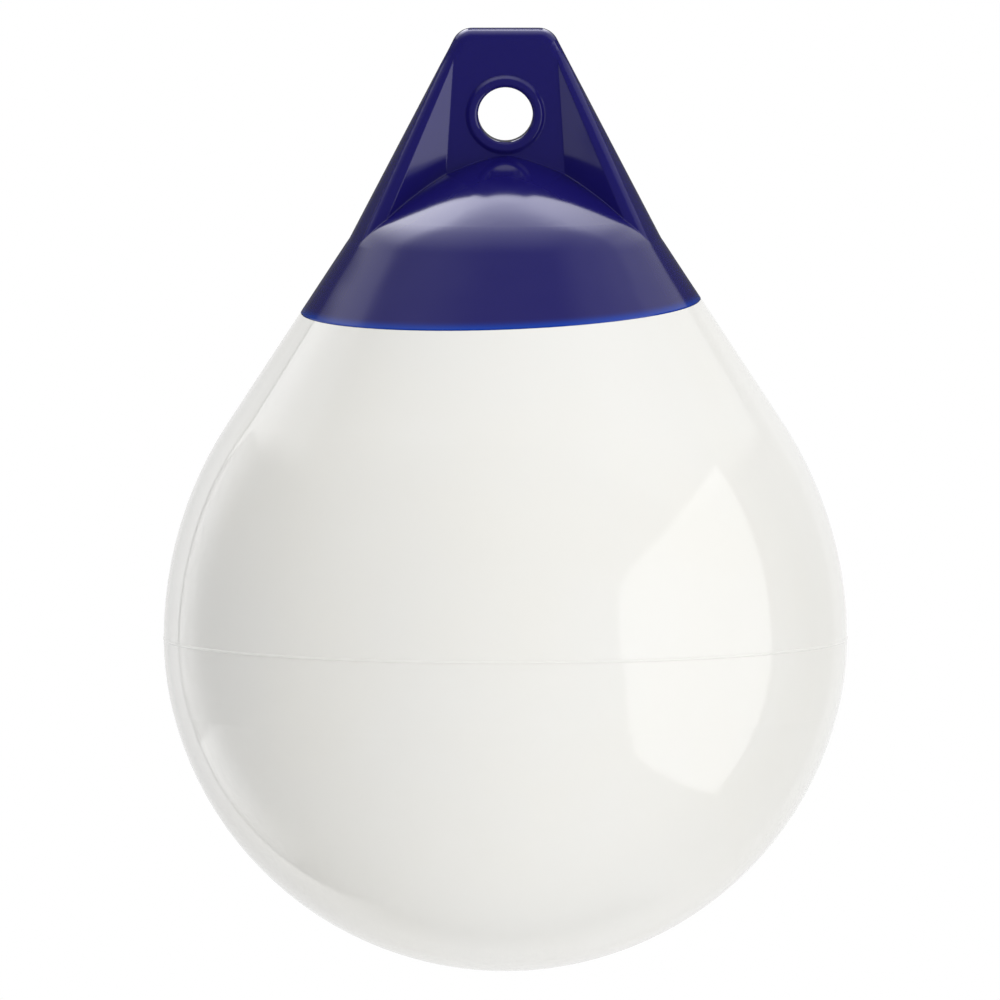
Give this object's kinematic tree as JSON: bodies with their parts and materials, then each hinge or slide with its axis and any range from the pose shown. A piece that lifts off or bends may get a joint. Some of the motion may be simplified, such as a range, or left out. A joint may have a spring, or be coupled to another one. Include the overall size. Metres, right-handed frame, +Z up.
{
  "type": "mooring buoy",
  "caption": "Round inflatable vinyl buoy, drop shaped, with a solid moulded crown whose flared eye takes a mooring or fender rope.",
  "frame": {"origin": "middle of the rope eye's bore", "axes": "+Z up, from the float to the rope eye; the bore runs along Y; the front, with the lower side of the colour line, faces -Y and the valve faces +Y"},
  "size_m": [0.2805, 0.2806, 0.3867],
  "materials": {
    "white_vinyl": "glossy soft vinyl",
    "navy_vinyl": "glossy soft vinyl",
    "valve_plastic": "satin moulded plastic",
    "plug_plastic": "satin moulded plastic"
  },
  "bodies": {
    "root": {"float_body": "white_vinyl", "rope_eye_crown": "navy_vinyl", "valve_body": "valve_plastic", "valve_plug": "plug_plastic"}
  },
  "joints": []
}
